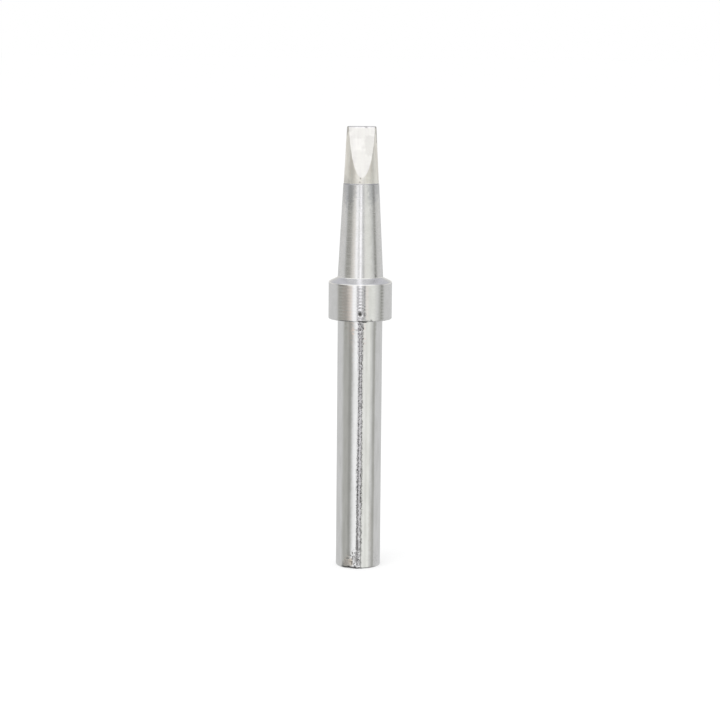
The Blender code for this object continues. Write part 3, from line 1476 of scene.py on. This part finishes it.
class Zone(Enum):
    """Heights of the wall, in degrees above the level of the tip, as (low, high, softness).

    A zone that reaches straight up or straight down has no edge there.
    """

    WHOLE = (-90.0, 90.0, 1.0)
    TOP = (30.0, 90.0, 8.0)
    FRONT_TOP = (52.0, 90.0, 8.0)
    UPPER = (16.0, 90.0, 8.0)
    CONE = (-3.0, 90.0, 1.0)
    COLLAR_TOP = (-6.1, -2.5, 0.5)
    FRONT_LOW = (-90.0, -5.8, 0.5)
    COLLAR = (-6.3, -4.0, 0.8)
    COLLAR_WIDE = (-6.5, -2.0, 0.4)
    COLLAR_UP = (-6.3, 90.0, 1.0)
    COLLAR_DOWN = (-90.0, -5.0, 1.0)
    SHANK = (-90.0, -6.6, 0.3)
    SHANK_HIGH = (-14.2, -6.6, 0.8)
    SHANK_LOW = (-90.0, -14.4, 0.8)
    SHANK_FOOT = (-22.0, -17.5, 0.15)
    CHISEL = (2.8, 13.0, 0.8)
    CHISEL_HIGH = (5.6, 13.0, 0.8)
    UNDER = (-90.0, -28.0, 4.0)


@dataclass(frozen=True)
class Card:
    """A card on the studio's wall: where it hangs, in degrees, and how softly its edges fade."""

    name: str
    zone: Zone
    start: float
    finish: float
    colour: Colour
    soft_start: float = 2.0
    soft_finish: float = 2.0
    slant: float = 0.0
    pivot: float = 0.0


STUDIO_CARDS = (
    Card("pale_left", Zone.CONE, -50, -28, (0.76, 0.745, 0.71), 8, 10),
    Card("warm_left", Zone.COLLAR_WIDE, -48, -28, (0.80, 0.675, 0.60), 8, 8),
    Card("dark_left", Zone.CONE, -78, -62, (0.30, 0.30, 0.28), 15, 27),
    Card("dark_left_collar", Zone.COLLAR_WIDE, -80, -56, (0.365, 0.322, 0.288), 12, 22),
    Card("dark_edge_collar", Zone.COLLAR_WIDE, -80, -74, (0.31, 0.302, 0.275), 12, 10),
    Card("dark_left_shank", Zone.SHANK, -82, -56, (0.45, 0.45, 0.43), 22, 24),
    Card("darker_left_shank", Zone.SHANK, -52, -48, (0.34, 0.34, 0.325), 12, 38),
    Card("soft_box", Zone.COLLAR_UP, -22.3, -15, (1.11, 1.105, 1.13), 12, 4),
    Card("soft_box_shank", Zone.SHANK, -18.5, -6, (1.00, 1.00, 1.01), 31, 4, 0.7, -12),
    Card("front", Zone.CONE, -3, 3, (1.48, 1.46, 1.52), 3, 4.5),
    Card("front_collar", Zone.COLLAR_TOP, -3, 3, (1.22, 1.20, 1.25), 1.5, 2),
    Card("front_low", Zone.FRONT_LOW, -8, 14, (0.68, 0.67, 0.69), 4, 6),
    Card("grey_right", Zone.CONE, 13, 16, (0.48, 0.48, 0.49), 5, 7),
    Card("pale_right", Zone.WHOLE, 20, 42, (0.78, 0.785, 0.75), 3, 42, 0.3),
    Card("bright_right", Zone.COLLAR_DOWN, 46, 50, (0.865, 0.87, 0.835), 10, 10),
    Card("pink_right", Zone.COLLAR_WIDE, 20, 27, (0.86, 0.78, 0.74), 3, 6),
    Card("dark_right", Zone.COLLAR_UP, 85, 88, (0.36, 0.365, 0.34), 20, 12),
    Card("darker_right", Zone.CONE, 83.5, 86, (0.15, 0.15, 0.14), 8, 6),
    Card("edge_right_shank", Zone.SHANK, 21, 26, (0.87, 0.875, 0.845), 3, 9),
    Card("dark_right_shank", Zone.SHANK, 79, 83, (0.42, 0.42, 0.40), 18, 8),
    Card("strip_left_collar", Zone.COLLAR, -11.0, -5.6, (0.13, 0.11, 0.16), 1.2, 1.2),
    Card("strip_left_high", Zone.SHANK_HIGH, -3.2, -0.2, (0.04, 0.04, 0.045), 1.2, 1.2, 0.2, -9),
    Card("strip_left_low", Zone.SHANK_LOW, -11.8, -2.0, (0.02, 0.02, 0.025), 1.2, 1.2, -1.0, -15.2),
    Card("strip_right_collar", Zone.COLLAR_WIDE, 14.4, 18.6, (0.02, 0.015, 0.03), 1.2, 1.2),
    Card("strip_right_high", Zone.SHANK_HIGH, 9.9, 12.7, (0.03, 0.03, 0.035), 1.2, 1.2, -1.3, -9.9),
    Card("strip_right_low", Zone.SHANK_LOW, 10.4, 13.2, (0.05, 0.05, 0.055), 1.2, 1.2),
    Card("foot_shine", Zone.SHANK_FOOT, -6, 13, (1.05, 1.05, 1.05), 2, 3),
    Card("high_wall", Zone.TOP, -180, 180, (0.57, 0.57, 0.605)),
    Card("high_front", Zone.UPPER, -80, 50, (1.07, 1.06, 1.03), 12, 12),
    Card("over_front", Zone.FRONT_TOP, -110, 110, (0.645, 0.645, 0.68), 10, 10),
    Card("over_middle", Zone.FRONT_TOP, -50, 60, (0.73, 0.73, 0.765), 30, 30),
    Card("over_centre", Zone.FRONT_TOP, -20, 10, (1.28, 1.27, 1.34), 6, 6),
    Card("chisel_left", Zone.CHISEL, -175, -116, (0.86, 0.835, 0.80), 4, 14),
    Card("inner_left", Zone.CHISEL_HIGH, -116, -104, (0.86, 0.835, 0.80), 12, 14),
    Card("chisel_right", Zone.CHISEL, 112, 175, (0.86, 0.845, 0.81), 14, 4),
    Card("inner_right", Zone.CHISEL_HIGH, 84, 112, (0.84, 0.825, 0.79), 12, 12),
    Card("under_left", Zone.UNDER, -90, -38, (0.08, 0.08, 0.08), 10, 6),
    Card("under_right", Zone.UNDER, 30, 110, (0.33, 0.33, 0.33), 10, 10),
)


@dataclass
class StudioWall:
    """A round wall of light cards, which only the metal's reflections see."""

    cards: tuple[Card, ...] = STUDIO_CARDS
    distance: float = 0.30
    eye_height: float = 22 * MM
    steepest: float = 72.0
    sides: int = 72
    base: Colour = (0.625, 0.625, 0.625)
    name: str = "studio_wall"

    def build(self) -> bpy.types.Object:
        """Builds the wall with its ceiling and paints the cards on it.

        Returns:
            The wall.
        """
        shape = bmesh.new()
        reach = self.distance * math.tan(math.radians(self.steepest))
        rings = []
        for z in (self.eye_height - reach, self.eye_height + reach):
            ring = []
            for step in range(self.sides):
                turn = 2 * math.pi * step / self.sides
                x, y = self.distance * math.sin(turn), -self.distance * math.cos(turn)
                ring.append(shape.verts.new((x, y, z)))
            rings.append(ring)
        low, high = rings
        for index in range(self.sides):
            after = (index + 1) % self.sides
            shape.faces.new((low[index], low[after], high[after], high[index]))
        shape.faces.new(high)
        made = placed(self.name, mesh_of(self.name, shape, self.paint()))
        made.rotation_euler.z = CAMERA_TURN
        for sight in ("camera", "diffuse", "transmission", "volume_scatter", "shadow"):
            setattr(made, f"visible_{sight}", False)
        made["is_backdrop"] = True
        return made

    def directions(self, graph: Graph) -> tuple[Socket, Socket]:
        """Finds where a place on the wall lies.

        Args:
            graph: The wall's graph.

        Returns:
            The angle round the tip and the angle up, in degrees.
        """
        place = graph.node("ShaderNodeSeparateXYZ")
        graph.feed(place.inputs[0], graph.place())
        x, y, z = place.outputs
        turn = graph.calc("ARCTAN2", x, graph.calc("MULTIPLY", y, -1.0))
        squares = graph.calc("ADD", graph.calc("MULTIPLY", x, x), graph.calc("MULTIPLY", y, y))
        rise = graph.calc("ARCTAN2", graph.calc("SUBTRACT", z, self.eye_height), graph.calc("SQRT", squares))
        return graph.calc("DEGREES", turn), graph.calc("DEGREES", rise)

    def paint(self) -> bpy.types.Material:
        """Paints the wall's glow, card over card.

        Returns:
            The wall's material.
        """
        graph = Graph(bpy.data.materials.new(self.name))
        graph.tree.nodes.remove(graph.shader)
        turn, rise = self.directions(graph)
        colour = self.base
        for card in self.cards:
            colour = graph.blend(self.cover(graph, card, turn, rise), colour, card.colour)
            colour.node.label = card.name
        light = graph.node("ShaderNodeEmission")
        graph.feed(light.inputs["Color"], colour)
        graph.show(light)
        return graph.owner

    def cover(self, graph: Graph, card: Card, turn: Socket, rise: Socket) -> Socket:
        """How much of a card lies at a place on the wall.

        Args:
            graph: The wall's graph.
            card: The card.
            turn: The place's angle round the tip.
            rise: The place's angle up.

        Returns:
            The share, from 0 to 1.
        """
        if card.slant:
            shift = graph.calc("MULTIPLY_ADD", rise, card.slant, -card.slant * card.pivot)
            turn = graph.calc("SUBTRACT", turn, shift)
        opening = graph.span(turn, card.start - card.soft_start, card.start)
        closing = graph.span(turn, card.finish, card.finish + card.soft_finish, 1.0, 0.0)
        share = graph.calc("MULTIPLY", opening, closing)
        low, high, soft = card.zone.value
        if low > -STRAIGHT_UP:
            share = graph.calc("MULTIPLY", share, graph.span(rise, low - soft, low))
        if high < STRAIGHT_UP:
            share = graph.calc("MULTIPLY", share, graph.span(rise, high, high + soft, 1.0, 0.0))
        return share


@dataclass
class Studio:
    """White studio: dome light, a wall of cards for the metal to reflect, a pale floor and one soft lamp."""

    wall: StudioWall = field(default_factory=StudioWall)
    floor_radius: float = 8.0
    floor_sides: int = 96
    floor_roughness: float = 0.9
    floor_colour: Colour = (0.93, 0.93, 0.93)
    floor_glow: float = 0.55
    dome_strength: float = 1.08
    lamp_power: float = 1.2
    lamp_size: float = 0.5
    lamp_place: tuple[float, float, float] = (-0.25, -0.35, 0.55)

    def build(self) -> None:
        """Builds the whole studio."""
        self.world()
        log.info("%s: a pale floor", self.floor().name)
        log.info("%s: one soft lamp", self.lamp().name)
        log.info("%s: %d cards", self.wall.build().name, len(self.wall.cards))

    def world(self) -> None:
        """A dome that is white to the eye and in reflections, and lights the floor softly."""
        graph = Graph(bpy.data.worlds.new("white_dome"))
        rays = graph.node("ShaderNodeLightPath").outputs
        seen = graph.calc("MAXIMUM", rays["Is Camera Ray"], rays["Is Glossy Ray"])
        seen = graph.calc("MAXIMUM", seen, rays["Is Transmission Ray"])
        graph.shader.inputs["Color"].default_value = (1, 1, 1, 1)
        graph.feed(graph.shader.inputs["Strength"], graph.span(seen, 0, 1, self.dome_strength, 1.0))
        bpy.context.scene.world = graph.owner

    def floor(self) -> bpy.types.Object:
        """Lays a wide pale floor that keeps the tip's shadow and stays out of its reflections.

        Returns:
            The floor.
        """
        shape = bmesh.new()
        bmesh.ops.create_circle(shape, cap_ends=True, segments=self.floor_sides, radius=self.floor_radius)
        made = placed("floor", mesh_of("floor", shape, self.floor_paint()))
        made.visible_glossy = False
        made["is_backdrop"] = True
        return made

    def floor_paint(self) -> bpy.types.Material:
        """Mixes matt near-white paint, part of whose whiteness the eye alone sees.

        Returns:
            The material.
        """
        graph = Graph(bpy.data.materials.new("pale_floor"))
        graph.shader.inputs["Base Color"].default_value = (*self.floor_colour, 1)
        graph.shader.inputs["Roughness"].default_value = self.floor_roughness
        graph.shader.inputs["Specular IOR Level"].default_value = 0.0
        white = graph.node("ShaderNodeEmission")
        path = graph.node("ShaderNodeLightPath")
        share = graph.calc("MULTIPLY", path.outputs["Is Camera Ray"], self.floor_glow)
        mix = graph.node("ShaderNodeMixShader")
        for socket, value in zip(mix.inputs, (share, graph.shader.outputs[0], white.outputs[0])):
            graph.feed(socket, value)
        graph.show(mix)
        return graph.owner

    def lamp(self) -> bpy.types.Object:
        """Hangs one large soft lamp above and to the left, which gives the faint shadow.

        Returns:
            The lamp.
        """
        light = bpy.data.lights.new("soft_lamp", "AREA")
        light.shape = "DISK"
        light.size = self.lamp_size
        light.energy = self.lamp_power
        made = placed("soft_lamp", light)
        made.location = self.lamp_place
        made.rotation_euler = (-made.location).to_track_quat("-Z", "Y").to_euler()
        made.visible_glossy = False
        return made


@dataclass(frozen=True)
class PhotographCamera:
    """The camera of the photograph, from the tip's outline in its 720 pixel frame."""

    frame_px: float = 720.0
    focal_px: float = 2120.0
    px_per_metre: float = 9366.0
    elevation: float = math.radians(8.46)
    aim_height: float = 22.295 * MM
    axis_offset_px: float = 0.32
    lean: float = math.radians(0.52)
    sensor: float = 36.0
    nearest: float = 0.01
    farthest: float = 50.0

    def build(self) -> bpy.types.Object:
        """Builds the camera and makes it the scene's own.

        Returns:
            The camera.
        """
        data = bpy.data.cameras.new("photograph_camera")
        data.sensor_width = self.sensor
        data.lens = self.focal_px / self.frame_px * self.sensor
        data.clip_start = self.nearest
        data.clip_end = self.farthest
        made = placed("photograph_camera", data)
        turn = Matrix.Rotation(CAMERA_TURN, 3, "Z")
        back = turn @ Vector((0, -math.cos(self.elevation), math.sin(self.elevation)))
        target = turn @ Vector((self.axis_offset_px / self.px_per_metre, 0, self.aim_height))
        made.location = target + back * (self.focal_px / self.px_per_metre)
        facing = (-back).to_track_quat("-Z", "Y")
        made.rotation_mode = "QUATERNION"
        made.rotation_quaternion = Matrix.Rotation(self.lean, 3, back).to_quaternion() @ facing
        bpy.context.scene.camera = made
        return made


def main() -> None:
    """Builds the skin, the studio and the camera in order."""
    logging.basicConfig(level=logging.INFO, format="%(name)s: %(message)s")
    low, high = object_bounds()
    skin = TipSkin(TipSizes(length=high.z, collar_radius=high.x)).build()
    log.info("%s: %d faces", skin.name, len(skin.data.polygons))
    Studio().build()
    log.info("%s: the photograph's view", PhotographCamera().build().name)
    bpy.context.scene.view_settings.view_transform = "Standard"
    low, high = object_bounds()


if __name__ == "__main__":
    main()
